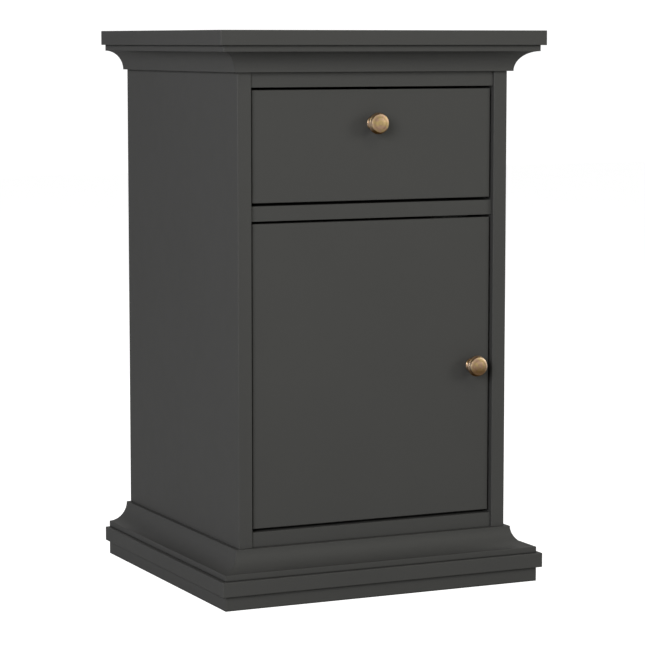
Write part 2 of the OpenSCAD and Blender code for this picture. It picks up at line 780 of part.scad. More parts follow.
strike_z = door_z1 - 1.5 - strike_h / 2;

module door_panel() {
  color(lacquer) difference() {
    eased_board(-panel_x, panel_x, panel_y0, panel_y1, door_z0, door_z1);
    for (z = hinge_z) {
      bar_y(panel_y1 - cup_depth - play, panel_y1 + cut, cup_x, z, cup_d + 2 * play);
      for (dz = [-cup_screw_z, cup_screw_z])
        bar_y(panel_y1 - screw_reach, panel_y1 + cut, cup_x, z + dz, small_bore);
    }
    for (dx = [-strike_screw_x, strike_screw_x])
      bar_y(panel_y1 - screw_reach, panel_y1 + cut, catch_x + dx, strike_z, small_bore);
    bar_y(panel_y0 - cut, panel_y1 + cut, door_knob_x, door_knob_z, knob_screw_bore);
  }
}

// A hinge cup: a pressed cup with a screw wing above and below, two ears and a pin between them
module hinge_cup(z) {
  ear_y = panel_y1 - cup_depth + cup_wall;
  color(steel) translate([0, 0, z]) {
    difference() {
      union() {
        bar_y(panel_y1 - cup_depth, panel_y1 + cup_flange, cup_x, 0, cup_d);
        board(cup_x - cup_wing / 2, cup_x + cup_wing / 2, panel_y1, panel_y1 + cup_flange,
          -cup_screw_z - cup_wing / 2, cup_screw_z + cup_wing / 2);
        bar_y(panel_y1, panel_y1 + cup_flange, cup_x, 0, cup_d + 3);
      }
      bar_y(panel_y1 - cup_depth + cup_wall, panel_y1 + cup_flange + cut, cup_x, 0, cup_d - 2 * cup_wall);
      for (dz = [-cup_screw_z, cup_screw_z])
        bar_y(panel_y1 - cut, panel_y1 + cup_flange + cut, cup_x, dz, small_bore);
    }
    for (s = [-1, 1]) board(pivot_x - eye_r, pivot_x + eye_r, ear_y, pivot_y + eye_r,
      s > 0 ? ear_z : -ear_z - ear_t, s > 0 ? ear_z + ear_t : -ear_z);
    bar_z(-ear_z - ear_t / 2, ear_z + ear_t / 2, pivot_x, pivot_y, pin_d);
  }
}
module hinge_cup_lower() { hinge_cup(hinge_z[0]); }
module hinge_cup_upper() { hinge_cup(hinge_z[1]); }
module hinge_cup_screws() {
  color(steel) for (z = hinge_z, dz = [-cup_screw_z, cup_screw_z])
    translate([cup_x, panel_y1 + cup_flange, z + dz]) rotate([90, 0, 0])
      pan_screw(small_screw_d, 2 * small_screw_d, 1.6, cup_flange + screw_reach - tip_gap);
}

// One side of the goose neck and the straight arm, out by side * half the steel's thickness:
// round the door's edge, across to the side panel, then back along it
arm_u = arm_x - pivot_x;
neck_start = neck_angle - 1.5;
function neck_arc(c, r, a0, a1) = oval(c, r, r, a0, a1, 12);
function arm_side(side) = concat(
  neck_arc([0, 0], neck_r + side * neck_t / 2, neck_start, 90),
  neck_arc([arm_u + bend_r, neck_r + bend_r], bend_r - side * neck_t / 2, 270, 180),
  [[arm_u + side * neck_t / 2, neck_r + bend_r + arm_l]]);

// Plan of a hinge arm around its pin: an eye, a neck out of the cup, then the goose neck and the arm
module arm_plan() {
  inner = arm_side(-1);
  difference() {
    union() {
      circle(r = eye_r);
      rotate(neck_angle) translate([0, -neck_t / 2]) square([neck_r, neck_t]);
      polygon(concat(arm_side(1), [for (i = [len(inner) - 1 : -1 : 0]) inner[i]]));
    }
    circle(d = pin_d + 2 * axle_play);
  }
}
module hinge_arm(z) {
  color(steel) difference() {
    translate([pivot_x, pivot_y, z - arm_w / 2]) linear_extrude(arm_w) arm_plan();
    bar_x(arm_x - neck_t, arm_x + neck_t, plate_y, z, clamp_screw_d + 2 * play);
  }
}
module hinge_arm_lower() { hinge_arm(hinge_z[0]); }
module hinge_arm_upper() { hinge_arm(hinge_z[1]); }

// A mounting plate: a bar under the arm with a screw wing above and below
module hinge_plate(z) {
  color(steel) difference() {
    union() {
      board(-inner_x, -inner_x + plate_t, plate_y0, plate_y0 + plate_l, z - arm_w / 2, z + arm_w / 2);
      board(-inner_x, -inner_x + plate_t / 2, plate_y - plate_wing / 2, plate_y + plate_wing / 2,
        z - plate_screw_z - plate_wing / 2, z + plate_screw_z + plate_wing / 2);
    }
    for (dz = [-plate_screw_z, plate_screw_z])
      bar_x(-inner_x - cut, -inner_x + plate_t + cut, plate_y, z + dz, small_bore);
    bar_x(-inner_x + 0.6, -inner_x + plate_t + cut, plate_y, z, clamp_screw_d + 2 * play);
  }
}
module hinge_plate_lower() { hinge_plate(hinge_z[0]); }
module hinge_plate_upper() { hinge_plate(hinge_z[1]); }
module hinge_plate_screws() {
  color(steel) for (z = hinge_z) {
    for (dz = [-plate_screw_z, plate_screw_z])
      translate([-inner_x + plate_t / 2, plate_y, z + dz]) rotate([0, -90, 0])
        pan_screw(small_screw_d, 2 * small_screw_d, 1.6, plate_t / 2 + screw_reach - tip_gap);
    translate([arm_x + neck_t / 2, plate_y, z]) rotate([0, -90, 0])
      pan_screw(clamp_screw_d, 2 * small_screw_d + 2, 2, neck_t + plate_t - tip_gap);
  }
}

// ---- Magnetic catch ----

catch_y1 = catch_y0 + catch_d;
magnet_z = divider_z0 - catch_h + 2;
module catch_housing() {
  x = catch_w / 2;
  mx = magnet_w / 2;
  color(black_plastic) translate([catch_x, 0, 0]) difference() {
    union() {
      board(-x, x, catch_y0, catch_y1, divider_z0 - catch_wall, divider_z0);
      board(-mx - 2, mx + 2, catch_y0, catch_y1, divider_z0 - catch_h, divider_z0);
    }
    board(-mx - play, mx + play, catch_y0 - cut, catch_y1 - catch_wall,
      magnet_z - play, magnet_z + magnet_h + play);
    for (dx = [-catch_screw_x, catch_screw_x])
      bar_z(divider_z0 - catch_wall - cut, divider_z0 + cut, dx, catch_y0 + catch_d / 2, small_bore);
  }
}
module catch_magnet() {
  color(steel) board(catch_x - magnet_w / 2, catch_x + magnet_w / 2, catch_y0, catch_y1 - catch_wall,
    magnet_z, magnet_z + magnet_h);
}
module catch_screws() {
  color(steel) for (dx = [-catch_screw_x, catch_screw_x])
    translate([catch_x + dx, catch_y0 + catch_d / 2, divider_z0 - catch_wall])
      pan_screw(small_screw_d, 2 * small_screw_d, 1.6, catch_wall + screw_reach - tip_gap);
}
module strike_plate() {
  color(steel) difference() {
    board(catch_x - strike_w / 2, catch_x + strike_w / 2, panel_y1, panel_y1 + strike_t,
      strike_z - strike_h / 2, strike_z + strike_h / 2);
    for (dx = [-strike_screw_x, strike_screw_x])
      bar_y(panel_y1 - cut, panel_y1 + strike_t + cut, catch_x + dx, strike_z, small_bore);
  }
}
module strike_screws() {
  color(steel) for (dx = [-strike_screw_x, strike_screw_x])
    translate([catch_x + dx, panel_y1 + strike_t, strike_z]) rotate([90, 0, 0])
      pan_screw(small_screw_d, 2 * small_screw_d - 1, 1, strike_t + screw_reach - tip_gap);
}

// ---- Drawing ----

top_panel();
cornice_front();
cornice_left();
cornice_right();
cornice_back_rail();
side_left();
side_right();
carcass_top();
divider();
carcass_bottom();
back_panel();
base_moulding_front();
base_moulding_left();
base_moulding_right();
base_back_rail();
base_board();
plinth_front();
plinth_left();
plinth_right();
plinth_back();
shelf();
shelf_pins();
cam_locks();
cam_bolts();
carcass_dowels();
long_screws();
cabinet_runner_left();
cabinet_runner_right();
cabinet_runner_screws();
hinge_arm_upper();
hinge_arm_lower();
hinge_plate_upper();
hinge_plate_lower();
hinge_plate_screws();
catch_housing();
catch_magnet();
catch_screws();
drawer_front();
drawer_side_left();
drawer_side_right();
drawer_back();
drawer_bottom();
drawer_knob();
drawer_knob_screw();
drawer_dowels();
drawer_screws();
drawer_runner_left();
drawer_runner_right();
cabinet_roller_left();
cabinet_roller_right();
drawer_roller_left();
drawer_roller_right();
door_panel();
door_knob();
door_knob_screw();
hinge_cup_upper();
hinge_cup_lower();
hinge_cup_screws();
strike_plate();
strike_screws();
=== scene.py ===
# %% [markdown]
# # A bedside pot cupboard in matt anthracite lacquer
# The cupboard is a small chest with one drawer above one door, between a coved cornice and a coved base.
# Its boards, runners, hinges and knobs come as one fixed frame, already in place and at real size.
# What is left to do here is to photograph it: a camera, a bright studio, and finishes with the small
# unevenness that sprayed board, turned brass and pressed steel really have.

# %% Load the cupboard
import math

import bmesh
import bpy
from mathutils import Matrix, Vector


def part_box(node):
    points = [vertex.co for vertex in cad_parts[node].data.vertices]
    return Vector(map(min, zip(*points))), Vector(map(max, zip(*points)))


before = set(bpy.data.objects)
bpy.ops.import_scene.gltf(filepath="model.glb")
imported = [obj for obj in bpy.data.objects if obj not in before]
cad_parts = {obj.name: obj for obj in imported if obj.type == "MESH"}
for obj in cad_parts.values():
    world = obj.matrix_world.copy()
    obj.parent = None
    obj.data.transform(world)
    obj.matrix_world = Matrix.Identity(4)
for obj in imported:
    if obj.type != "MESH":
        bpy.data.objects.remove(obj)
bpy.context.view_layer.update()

# %% [markdown]
# ## The camera
# A product picture of furniture is taken from far away with a long lens, so that upright edges stay
# nearly upright. The camera could be placed by eye, but six numbers that were fitted to the corners of
# the cupboard give the same picture every time. It stands at the left, a little under the height of
# the top, and looks down by six degrees. A lens that is shifted instead of dipped would keep uprights
# quite parallel, but a shift that large would cut the cupboard off in views from other sides.

# %% Camera
CAMERA_PLACE = Vector((-1.3094, -2.8115, 0.6374))
CAMERA_HEADING = math.radians(25.069)
CAMERA_DIP = math.radians(6.212)
CAMERA_LENS = 144.178
CAMERA_SENSOR = 36

camera_data = bpy.data.cameras.new("portrait_camera")
camera_data.lens = CAMERA_LENS
camera_data.sensor_width = CAMERA_SENSOR
camera = bpy.data.objects.new("portrait_camera", camera_data)
bpy.context.scene.collection.objects.link(camera)
camera.location = CAMERA_PLACE
looks_along = Vector((
    math.sin(CAMERA_HEADING) * math.cos(CAMERA_DIP),
    math.cos(CAMERA_HEADING) * math.cos(CAMERA_DIP),
    -math.sin(CAMERA_DIP),
))
camera.rotation_mode = "QUATERNION"
camera.rotation_quaternion = looks_along.to_track_quat("-Z", "Y")
bpy.context.scene.camera = camera
print("camera looks along", [round(x, 3) for x in looks_along])

# %% [markdown]
# ## Helpers for node trees
# Every finish below is a small tree of shader nodes. Three helpers keep them readable: one adds a node
# and fills its sockets, one does sums, and one mixes two colours by a mask. Two more make noise and
# stretch it. A socket may be given a number or the output of another node. Sizes are in metres, since
# the pieces are, so a noise of scale 45 has about 45 clouds to the metre.

# %% Helpers for node trees
MIX_MASK, MIX_FIRST, MIX_SECOND, MIX_RESULT = 0, 6, 7, 2  # a Mix node's places for colours
NOISE_LOW, NOISE_HIGH = 0.3, 0.7  # nearly all of a noise lies between these


def add(tree, kind, values=None, **options):
    """Add a node, set its options, and fill its inputs with numbers or links."""
    node = tree.nodes.new(kind)
    for option, value in options.items():
        setattr(node, option, value)
    for socket, value in (values or {}).items():
        if isinstance(value, bpy.types.NodeSocket):
            tree.links.new(value, node.inputs[socket])
        else:
            node.inputs[socket].default_value = value
    return node


def sums(tree, operation, first, second=0.0, third=0.0, clamp=False):
    """One Math node, and its result."""
    values = {0: first, 1: second, 2: third}
    return add(tree, "ShaderNodeMath", values, operation=operation, use_clamp=clamp).outputs[0]


def blend(tree, mask, first, second):
    """The first colour where the mask is 0, the second where it is 1."""
    values = {MIX_MASK: mask, MIX_FIRST: first, MIX_SECOND: second}
    return add(tree, "ShaderNodeMix", values, data_type="RGBA").outputs[MIX_RESULT]


def cloud(tree, vector, scale, detail=2.0, roughness=0.5):
    """Soft noise between 0 and 1 with its mean near one half."""
    values = {"Vector": vector, "Scale": scale, "Detail": detail, "Roughness": roughness}
    return add(tree, "ShaderNodeTexNoise", values).outputs["Fac"]


def spread(tree, value, low, high, to_low=0.0, to_high=1.0):
    """Stretch the part of a value between low and high, and cut off the rest."""
    values = {"Value": value, "From Min": low, "From Max": high, "To Min": to_low, "To Max": to_high}
    return add(tree, "ShaderNodeMapRange", values).outputs["Result"]


# %% Helpers for node groups
def new_group(name, inputs, outputs):
    """A shader node group with named sockets. An input is (name, kind, usual value)."""
    group = bpy.data.node_groups.new(name, "ShaderNodeTree")
    for label, kind, usual in inputs:
        socket = group.interface.new_socket(name=label, in_out="INPUT", socket_type="NodeSocket" + kind)
        socket.default_value = usual
    for label, kind in outputs:
        group.interface.new_socket(name=label, in_out="OUTPUT", socket_type="NodeSocket" + kind)
    return group, add(group, "NodeGroupInput").outputs, add(group, "NodeGroupOutput").inputs


def close_group(group, outputs, results):
    """Join each result to the output of its name."""
    for label, result in results.items():
        group.links.new(result, outputs[label])
    print("node group", group.name, "gives", ", ".join(results))


def place(tree, group, values):
    """Put a node group into a material, with that material's own values."""
    return add(tree, "ShaderNodeGroup", values, node_tree=group).outputs


# %% [markdown]
# ## Skin: the fine unevenness of a coat
# Sprayed lacquer, powder enamel and moulded plastic all have the same three faults at different sizes:
# the colour drifts over a hand's breadth, the gloss drifts over a thumb's breadth, and the surface has a
# pebbled texture that only shows in a low light. One group gives all three, and each finish sets its own
# amounts. It could be painted as an image, but noise in real millimetres has no seams on any board.

# %% Node group: skin
HAND_CLOUDS = 7.0
THUMB_CLOUDS = 45.0


def make_skin():
    group, given, result = new_group(
        "skin",
        [("Colour", "Color", (0.5, 0.5, 0.5, 1)), ("Drift", "Float", 0.05), ("Roughness", "Float", 0.5),
         ("Gloss drift", "Float", 0.05), ("Pebble per metre", "Float", 900.0)],
        [("Colour", "Color"), ("Roughness", "Float"), ("Height", "Float")],
    )
    point = add(group, "ShaderNodeTexCoord").outputs["Object"]
    wide = spread(group, cloud(group, point, HAND_CLOUDS, detail=3.0), NOISE_LOW, NOISE_HIGH, -1.0, 1.0)
    gain = sums(group, "MULTIPLY_ADD", wide, given["Drift"], 1.0)
    shaded = add(group, "ShaderNodeVectorMath", {0: given["Colour"]}, operation="SCALE")
    group.links.new(gain, shaded.inputs["Scale"])
    thumb = spread(group, cloud(group, point, THUMB_CLOUDS, detail=3.0), NOISE_LOW, NOISE_HIGH, -1.0, 1.0)
    gloss = sums(group, "MULTIPLY_ADD", thumb, given["Gloss drift"], given["Roughness"])
    pebble = cloud(group, point, given["Pebble per metre"])
    close_group(group, result, {"Colour": shaded.outputs[0], "Roughness": gloss, "Height": pebble})
    return group


skin = make_skin()

# %% [markdown]
# ## Rubbed edge
# Nobody sprays a knife edge: a sharp arris is sanded first, and the lacquer over it is a little thinner
# and more polished by hands. The rounding could be modelled on every board, which costs many faces, or
# the shading normal can be rounded near an edge. The second also tells where the edge is: there the
# rounded normal and the true one differ, and that difference is the mask for wear.

# %% Node group: rubbed edge
EDGE_SAMPLES = 6
EDGE_BEGINS, EDGE_FULL = 0.995, 0.8  # how alike the rounded and the true normal are
PATCH_CLOUDS = 70.0
PATCH_LOW, PATCH_HIGH = 0.35, 0.65


def make_rubbed_edge():
    group, given, result = new_group(
        "rubbed_edge",
        [("Radius", "Float", 0.001), ("Patchiness", "Float", 0.5)],
        [("Mask", "Float"), ("Normal", "Vector")],
    )
    bevel = add(group, "ShaderNodeBevel", {"Radius": given["Radius"]}, samples=EDGE_SAMPLES)
    rounded = bevel.outputs["Normal"]
    true = add(group, "ShaderNodeNewGeometry").outputs["True Normal"]
    alike = add(group, "ShaderNodeVectorMath", {0: rounded, 1: true}, operation="DOT_PRODUCT")
    edge = spread(group, alike.outputs["Value"], EDGE_BEGINS, EDGE_FULL)
    point = add(group, "ShaderNodeTexCoord").outputs["Object"]
    patches = spread(group, cloud(group, point, PATCH_CLOUDS, detail=3.0), PATCH_LOW, PATCH_HIGH)
    kept = sums(group, "SUBTRACT", 1.0, sums(group, "MULTIPLY", patches, given["Patchiness"]))
    close_group(group, result, {"Mask": sums(group, "MULTIPLY", edge, kept, clamp=True), "Normal": rounded})
    return group


rubbed_edge = make_rubbed_edge()

# %% [markdown]
# ## Settled dust
# Dust falls from above, so it lies on what faces up: the top, the ledges of the base and the floor of
# the drawer. A mask from the upright part of the normal, broken by noise, is enough. It could be real
# specks, but at this distance dust is only a slight lightening.

# %% Node group: settled dust
DUST_HOLDS_AT, DUST_FULL_AT = 0.5, 0.95  # how upright a surface's normal is
DUST_CLOUDS = 25.0
DUST_THIN, DUST_THICK, DUST_LEAST = 0.3, 0.75, 0.3


def make_settled_dust():
    group, given, result = new_group("settled_dust", [("Amount", "Float", 0.05)], [("Mask", "Float")])
    normal = add(group, "ShaderNodeNewGeometry").outputs["Normal"]
    up = add(group, "ShaderNodeSeparateXYZ", {0: normal}).outputs["Z"]
    point = add(group, "ShaderNodeTexCoord").outputs["Object"]
    noise = cloud(group, point, DUST_CLOUDS, detail=6.0, roughness=0.7)
    grey = spread(group, noise, DUST_THIN, DUST_THICK, DUST_LEAST, 1.0)
    lying = sums(group, "MULTIPLY", spread(group, up, DUST_HOLDS_AT, DUST_FULL_AT), grey)
    close_group(group, result, {"Mask": sums(group, "MULTIPLY", lying, given["Amount"], clamp=True)})
    return group


settled_dust = make_settled_dust()

# %% [markdown]
# ## Painted corner shade
# Where two pieces meet at an inner corner, painted shade darkens the colour in a thin line, as little
# light comes back out of the corner. It could be drawn as a dark strip along every joint, but the
# renderer can also ask how much open air lies over a point within a few millimetres. That finds every
# joint by itself, and it is the same from wherever the cupboard is looked at.

# %% Node group: painted corner shade
CORNER_SHADE_SAMPLES = 12
CORNER_SHADE_BEGINS, CORNER_SHADE_FULL = 0.92, 0.48  # the share of open air over a point


def make_painted_corner_shade():
    group, given, result = new_group("painted_corner_shade", [("Reach", "Float", 0.006)], [("Mask", "Float")])
    reached = {"Distance": given["Reach"]}
    open_air = add(group, "ShaderNodeAmbientOcclusion", reached, samples=CORNER_SHADE_SAMPLES).outputs["AO"]
    close_group(group, result, {"Mask": spread(group, open_air, CORNER_SHADE_BEGINS, CORNER_SHADE_FULL)})
    return group


painted_corner_shade = make_painted_corner_shade()

# %% [markdown]
# ## Lacquer on smooth board
# The boards are fibreboard under a matt anthracite lacquer: almost black, with a trace of olive, and
# with the soft sheen of a flatted coat rather than a mirror. The colour is kept dark and the sheen
# rough, so that the studio lightens the boards evenly and the coves can still fall into shade. Four
# finishes come from one recipe. The mouldings and the top get the most painted shade in their inner
# corners, and the drawer front, the door and the boards round them only a little. The side panels are
# foil with painted shade along their front corners, and the back and the drawer's bottom are rougher
# hardboard.

# %% Materials: lacquer
def new_material(name):
    """An empty material, its node tree and its one Principled shader."""
    material = bpy.data.materials.new(name)
    material.use_nodes = True
    tree = material.node_tree
    return material, tree, tree.nodes["Principled BSDF"]


def feed(tree, shader, values):
    """Join results to the sockets of a shader, by name."""
    for socket, value in values.items():
        tree.links.new(value, shader.inputs[socket])


def relief(tree, height, millimetres, normal=None):
    """A normal from a height, over the given depth."""
    values = {"Height": height, "Distance": millimetres / 1000, "Strength": 1.0}
    if normal is not None:
        values["Normal"] = normal
    return add(tree, "ShaderNodeBump", values).outputs["Normal"]


DUST = (0.30, 0.29, 0.27, 1)
CORNER_SHADE_COLOUR = (0.006, 0.006, 0.006, 1)
SPRAY_PEBBLES = 1100.0
CORNER_SHADE_REACH = 0.0022
ARRIS_GLOSS = -0.08
BOARD_SPECULAR = 0.3


def coated_board(name, colour, edge_colour, edge_share, edge_radius, corner_shade_share,
                 roughness=0.58, pebble_mm=0.006):
    """Lacquered or foiled board: skin, arrises rubbed lighter or darkened by painted shade, a breath of
    dust and painted shade in inner corners.
    """
    material, tree, shader = new_material(name)
    coat = place(tree, skin, {"Colour": colour, "Drift": 0.02, "Roughness": roughness,
                              "Gloss drift": 0.015, "Pebble per metre": SPRAY_PEBBLES})
    edge = place(tree, rubbed_edge, {"Radius": edge_radius, "Patchiness": 0.6})
    dust = place(tree, settled_dust, {"Amount": 0.03})
    corner_shade = place(tree, painted_corner_shade, {"Reach": CORNER_SHADE_REACH})
    # On the side panels the edge colour is painted shade, darker than the board; on the other boards it is
    # lighter wear.
    worn = blend(tree, sums(tree, "MULTIPLY", edge["Mask"], edge_share), coat["Colour"], edge_colour)
    dusty = blend(tree, dust["Mask"], worn, DUST)
    # Painted shade: inner corners go towards near black.
    shaded = blend(tree, sums(tree, "MULTIPLY", corner_shade["Mask"], corner_shade_share), dusty, CORNER_SHADE_COLOUR)
    polished = sums(tree, "MULTIPLY_ADD", edge["Mask"], ARRIS_GLOSS, coat["Roughness"])
    feed(tree, shader, {"Base Color": shaded, "Roughness": polished,
                        "Normal": relief(tree, coat["Height"], pebble_mm, edge["Normal"])})
    shader.inputs["Specular IOR Level"].default_value = BOARD_SPECULAR
    return material


anthracite = (0.0459, 0.0458, 0.0451, 1)
rubbed_lacquer = (0.105, 0.104, 0.1, 1)
# Painted shade along the front corners of the side panels.
painted_edge_shade = (0.02, 0.02, 0.0197, 1)
grey_hardboard = (0.0435, 0.0434, 0.0427, 1)
lacquered_board = coated_board(
    "lacquered_board", anthracite, rubbed_lacquer, edge_share=0.35, edge_radius=0.0009, corner_shade_share=0.85)
plain_front = coated_board(
    "plain_front", anthracite, rubbed_lacquer, edge_share=0.35, edge_radius=0.0009, corner_shade_share=0.25)
edge_shaded_side = coated_board(
    "edge_shaded_side", anthracite, painted_edge_shade, edge_share=0.85, edge_radius=0.0002, corner_shade_share=0.1)
hardboard = coated_board(
    "hardboard", grey_hardboard, rubbed_lacquer, edge_share=0.35, edge_radius=0.0004, corner_shade_share=0.6,
    roughness=0.62, pebble_mm=0.012)
print("lacquer:", lacquered_board.name, plain_front.name, edge_shaded_side.name, hardboard.name)

# %% [markdown]
# ## Aged brass
# The knobs are turned from brass and darkened in a bath, and their edges are worn bright. So they show
# four things at once: fine rings round the axis from the lathe, clouds of pink and gold over the face,
# brown patina in the steps of the head with painted shade in the same brown above and below it, and
# painted highlights of bare metal at the sides and the face's edge. It could be painted by hand on an
# image; here it follows from where a point lies round the knob's own axis and how far out, so it fits
# the second knob too. That one has more painted shade below and a stronger painted highlight at the
# right.

# %% Node group: turned place, where a point lies on a turned piece
CHATTER_CLOUDS = 180.0
CHATTER = 0.0036  # how far the lathe's rings stray from true circles


def make_turned_place():
    group, given, result = new_group(
        "turned_place",
        [("Centre", "Vector", (0.0, 0.0, 0.0)), ("Rings per metre", "Float", 900.0)],
        [("Radius", "Float"), ("Rings", "Float"), ("Out", "Float"), ("Height", "Float"),
         ("Right", "Float")],
    )
    point = add(group, "ShaderNodeTexCoord").outputs["Object"]
    apart = add(group, "ShaderNodeVectorMath", {0: point, 1: given["Centre"]}, operation="SUBTRACT")
    axis = add(group, "ShaderNodeSeparateXYZ", {0: apart.outputs[0]}).outputs
    squares = sums(group, "ADD", sums(group, "POWER", axis["X"], 2.0), sums(group, "POWER", axis["Z"], 2.0))
    radius = sums(group, "SQRT", squares)
    wobble = sums(group, "MULTIPLY_ADD", cloud(group, point, CHATTER_CLOUDS), CHATTER, radius)
    across = sums(group, "MULTIPLY", wobble, given["Rings per metre"])
    lines = {"W": across, "Scale": 1.0, "Detail": 4.0}
    rings = add(group, "ShaderNodeTexNoise", lines, noise_dimensions="1D").outputs["Fac"]
    out = sums(group, "MULTIPLY", axis["Y"], -1.0)
    close_group(group, result, {"Radius": radius, "Rings": rings, "Out": out, "Height": axis["Z"],
                                "Right": axis["X"]})
    return group


turned_place = make_turned_place()

# %% Node group: patina and painted shade
RAGGED_CLOUDS = 420.0
RAGGED_SWING = 0.8  # how far noise moves the border of the brown
RAGGED_SHIFT = (0.7, 0.3, 0.1)  # so that the border does not follow the gold clouds
GOLD_BEGINS, GOLD_FULL = 0.44, 0.58


def make_patina_and_shade():
    group, given, result = new_group(
        "patina_and_shade",
        [("Metal", "Color", (0.6, 0.42, 0.25, 1)), ("Gold", "Color", (0.62, 0.46, 0.22, 1)),
         ("Brown", "Color", (0.1, 0.05, 0.015, 1)), ("Darkening", "Float", 0.0),
         ("Clouds per metre", "Float", 260.0)],
        [("Colour", "Color"), ("Mask", "Float")],
    )
    point = add(group, "ShaderNodeTexCoord").outputs["Object"]
    clouds = cloud(group, point, given["Clouds per metre"], detail=3.0, roughness=0.6)
    mottled = blend(group, spread(group, clouds, GOLD_BEGINS, GOLD_FULL), given["Metal"], given["Gold"])
    shifted = add(group, "ShaderNodeVectorMath", {0: point, 1: RAGGED_SHIFT}, operation="ADD")
    noise = cloud(group, shifted.outputs[0], RAGGED_CLOUDS, detail=4.0, roughness=0.65)
    ragged = sums(group, "MULTIPLY_ADD", noise, RAGGED_SWING, -0.5 * RAGGED_SWING)
    free = sums(group, "MULTIPLY", given["Darkening"], sums(group, "SUBTRACT", 1.0, given["Darkening"]))
    border = sums(group, "MULTIPLY", free, 4.0)
    brown = sums(group, "MULTIPLY_ADD", border, ragged, given["Darkening"], clamp=True)
    close_group(group, result, {"Colour": blend(group, brown, mottled, given["Brown"]), "Mask": brown})
    return group


patina_and_shade = make_patina_and_shade()

# %% [markdown]
# ### Where a knob is brown, and where it is bright
# Patina, painted shade and painted highlights are a matter of place. A knob's face is a low dome,
# 21.2 mm wide, that begins 18.1 mm out from the front. Small steps set it off from the quarter round
# behind it, that one from the bead, and the neck from the foot. Old polish and dirt stay in these steps
# and in one ring on the face. Painted shade darkens the metal above and below the head and on the low
# part of the face, and painted highlights brighten the sides of the head and the face's edge. These
# places could be painted on, but as a rule of heights and distances they can be read and changed.

# %% Helpers: patina and painted shade places, and painted highlight places
FACE_RADIUS = 0.0106
FACE_OUT = 0.0181
HEAD_BAND = (FACE_OUT + 0.0004, FACE_OUT)
EDGE_BAND = (FACE_RADIUS - 0.0018, FACE_RADIUS - 0.0004)
RIM_BAND = (FACE_RADIUS - 0.0016, FACE_RADIUS - 0.0004)
STEPS_OUT = (0.0021, 0.0150, FACE_OUT)
FACE_RING = 0.0071
STEP_REACH, RING_REACH = 0.0007, 0.0016
ABOVE_BAND, SIDE_BAND, BELOW_BAND = (0.2, 0.7), (0.55, 0.2), (-0.3, -0.75)  # 1 is right above the axis
ABOVE_SHARE, STEP_SHARE, RING_SHARE, LOW_SHADE_SHARE = 0.68, 0.6, 0.3, 0.9
LEFT_HIGHLIGHT_SHARE = 0.3  # how bright the painted highlight is on the left of the face's edge
RIGHT_HIGHLIGHT_BAND = (0.0, 0.6 * FACE_RADIUS)


def near(tree, value, target, reach):
    """1 where a value meets the target, falling to 0 at the given reach."""
    apart = sums(tree, "ABSOLUTE", sums(tree, "SUBTRACT", value, target))
    return spread(tree, apart, 0.25 * reach, reach, 1.0, 0.0)


def patina_and_shade_places(tree, turned, low_shade_top, low_shade_bottom):
    """Patina in the head's steps and one ring on the face; painted shade above and below the head and low
    on the face.
    """
    behind = spread(tree, turned["Out"], *HEAD_BAND)
    # Painted shade: the metal is darker above and below the head.
    upright = sums(tree, "DIVIDE", turned["Height"], turned["Radius"])
    above = sums(tree, "MULTIPLY", behind, spread(tree, upright, *ABOVE_BAND, 0.0, ABOVE_SHARE))
    rim = spread(tree, turned["Radius"], *RIM_BAND)
    below = sums(tree, "MULTIPLY", sums(tree, "MAXIMUM", behind, rim), spread(tree, upright, *BELOW_BAND))
    head_shade = sums(tree, "MAXIMUM", above, below)
    foot, bead, face = [near(tree, turned["Out"], out, STEP_REACH) for out in STEPS_OUT]
    steps = sums(tree, "ADD", sums(tree, "ADD", foot, bead), face)
    grooves = sums(tree, "MULTIPLY", steps, STEP_SHARE)
    ring = sums(tree, "MULTIPLY", near(tree, turned["Radius"], FACE_RING, RING_REACH), RING_SHARE)
    # Painted shade: the low part of the face is darker.
    low_shade = spread(tree, turned["Height"], low_shade_top, low_shade_bottom, 0.0, LOW_SHADE_SHARE)
    head_and_low_shade = sums(tree, "MAXIMUM", head_shade, low_shade)
    dark = sums(tree, "MAXIMUM", head_and_low_shade, sums(tree, "MAXIMUM", grooves, ring))
    return behind, upright, sums(tree, "MINIMUM", dark, 1.0)


def painted_highlight_places(tree, turned, behind, upright, side_highlight, right_highlight):
    """Painted highlights: bright metal at the two sides of the head and neck, and at the face's edge, most
    at the right.
    """
    level = sums(tree, "ABSOLUTE", upright)
    # Painted highlight: bright metal at the sides of the head.
    side_highlights = sums(tree, "MULTIPLY", behind, spread(tree, level, *SIDE_BAND, 0.0, side_highlight))
    edge = spread(tree, turned["Radius"], *EDGE_BAND)
    right_gain = spread(tree, turned["Right"], *RIGHT_HIGHLIGHT_BAND, LEFT_HIGHLIGHT_SHARE, right_highlight)
    return sums(tree, "MAXIMUM", side_highlights, sums(tree, "MULTIPLY", edge, right_gain))


# %% Materials: aged brass, one for each knob
PINK_BRASS = (0.52, 0.34, 0.25)
GOLD_BRASS = (0.57, 0.43, 0.205)
# Brown for patina in the steps, and for painted shade above, below and low on the knob.
BROWN_PATINA_AND_SHADE = (0.13, 0.062, 0.014, 1)
RING_BROWN = (0.30, 0.19, 0.115, 1)
# Bare metal for painted highlights and for worn edges.
BARE_AND_HIGHLIGHT_BRASS = (0.95, 0.76, 0.57, 1)
RINGS_PER_METRE = 430.0
RING_LOW, RING_HIGH, RING_TINT = 0.38, 0.6, 0.34
BRASS_CLOUDS = 190.0
BRASS_ROUGHNESS = 0.34
PATINA_GLOSS, RING_GLOSS = 0.08, 0.16
RING_DEPTH_MM = 0.1
RUBBED_SHARE = 0.5  # how far bare metal shows on a rubbed edge


